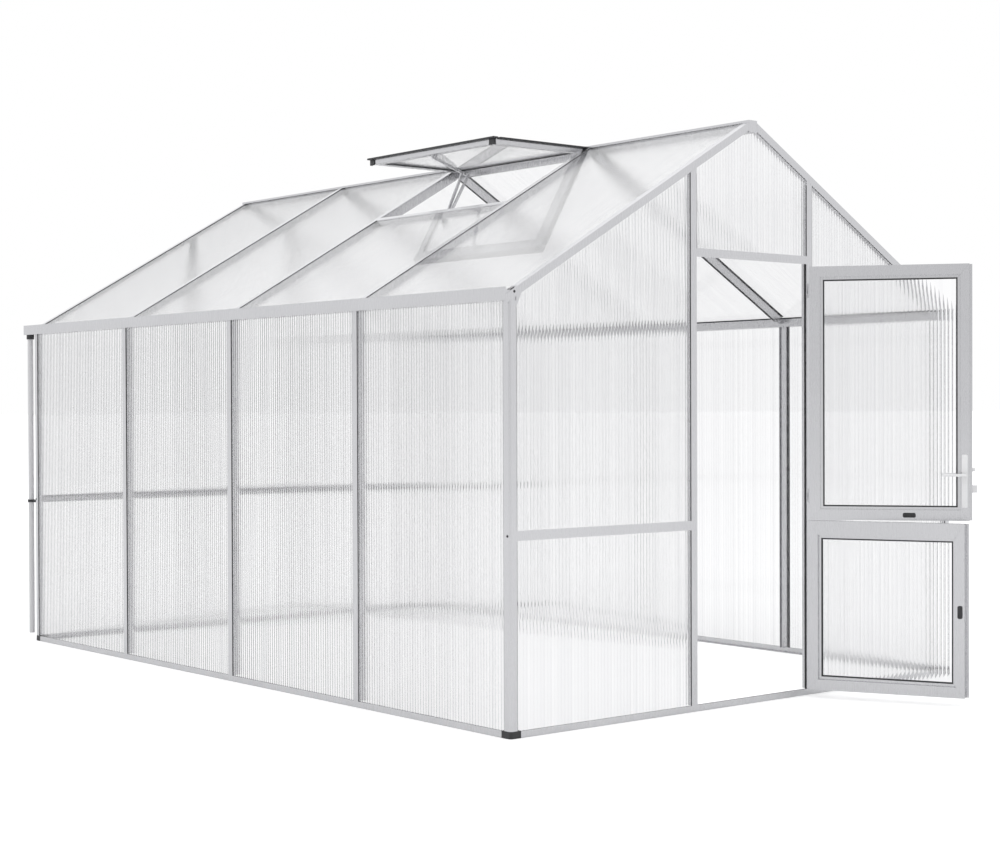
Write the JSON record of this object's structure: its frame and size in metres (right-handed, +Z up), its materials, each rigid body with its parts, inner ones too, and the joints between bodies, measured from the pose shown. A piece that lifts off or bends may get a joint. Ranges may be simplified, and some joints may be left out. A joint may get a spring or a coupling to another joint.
{
  "type": "greenhouse",
  "caption": "Walk-in gable greenhouse with an aluminium frame, twin-wall sheets, an open stable door, an open roof vent, gutters and downpipes.",
  "frame": {"origin": "on the ground, at the middle of the underside of the front base rail, under the doorway", "axes": "+X to the right along the door gable seen from outside, +Y into the building, +Z up"},
  "size_m": [2.724, 4.7592, 2.4644],
  "materials": {
    "aluminium": "mill-finished extrusion, satin",
    "twin_wall_sheet": "clear twin-wall polycarbonate with upright ribs",
    "black_plastic": "moulded, matt",
    "gasket_rubber": "extruded seal, matt",
    "white_plastic": "moulded, smooth",
    "grey_pipe": "drawn pipe, smooth"
  },
  "bodies": {
    "frame": {"back_gable_posts": "aluminium", "back_gable_sheets": "twin_wall_sheet", "back_mid_rails": "aluminium", "back_rakes": "aluminium", "base_rails": "aluminium", "corner_feet": "black_plastic", "corner_posts": "aluminium", "door_lintel": "aluminium", "downpipes": "grey_pipe", "eave_gussets": "aluminium", "front_door_posts": "aluminium", "front_gable_sheets": "twin_wall_sheet", "front_mid_rails": "aluminium", "front_rakes": "aluminium", "left_gutter": "aluminium", "left_roof_sheets": "twin_wall_sheet", "left_wall_sheets": "twin_wall_sheet", "pipe_fittings": "black_plastic", "post_hinges": "aluminium", "rafters": "aluminium", "ridge_beam": "aluminium", "ridge_end_plates": "aluminium", "right_gutter": "aluminium", "right_roof_sheets": "twin_wall_sheet", "right_wall_sheets": "twin_wall_sheet", "side_mullions": "aluminium", "vent_corner_caps": "black_plastic", "vent_frame": "aluminium", "vent_opener": "aluminium", "vent_seal": "black_plastic", "vent_sheet": "twin_wall_sheet", "vent_sill": "aluminium"},
    "upper_leaf": {"handle_plates": "white_plastic", "upper_door_frame": "aluminium", "upper_door_gaskets": "gasket_rubber", "upper_door_grip": "black_plastic", "upper_door_hinges": "aluminium", "upper_door_sheet": "twin_wall_sheet"},
    "lower_leaf": {"lower_door_frame": "aluminium", "lower_door_gaskets": "gasket_rubber", "lower_door_grip": "black_plastic", "lower_door_hinges": "aluminium", "lower_door_sheet": "twin_wall_sheet"},
    "lever": {"door_lever": "white_plastic"}
  },
  "joints": [
    {"name": "upper_door", "type": "hinge", "parent": "frame", "child": "upper_leaf", "pos_m": [0.3375, -0.034, 1.3], "axis": [0, 0, 1], "range_deg": [-127, 38]},
    {"name": "lower_door", "type": "hinge", "parent": "frame", "child": "lower_leaf", "pos_m": [0.3375, -0.034, 0.4], "axis": [0, 0, 1], "range_deg": [-115.5, 49.5]},
    {"name": "door_handle", "type": "hinge", "parent": "upper_leaf", "child": "lever", "pos_m": [0.70782, -0.57196, 0.963], "axis": [0.7986, 0.6018, 0], "range_deg": [-40, 0], "stiffness_Nm_per_rad": 1.2}
  ]
}
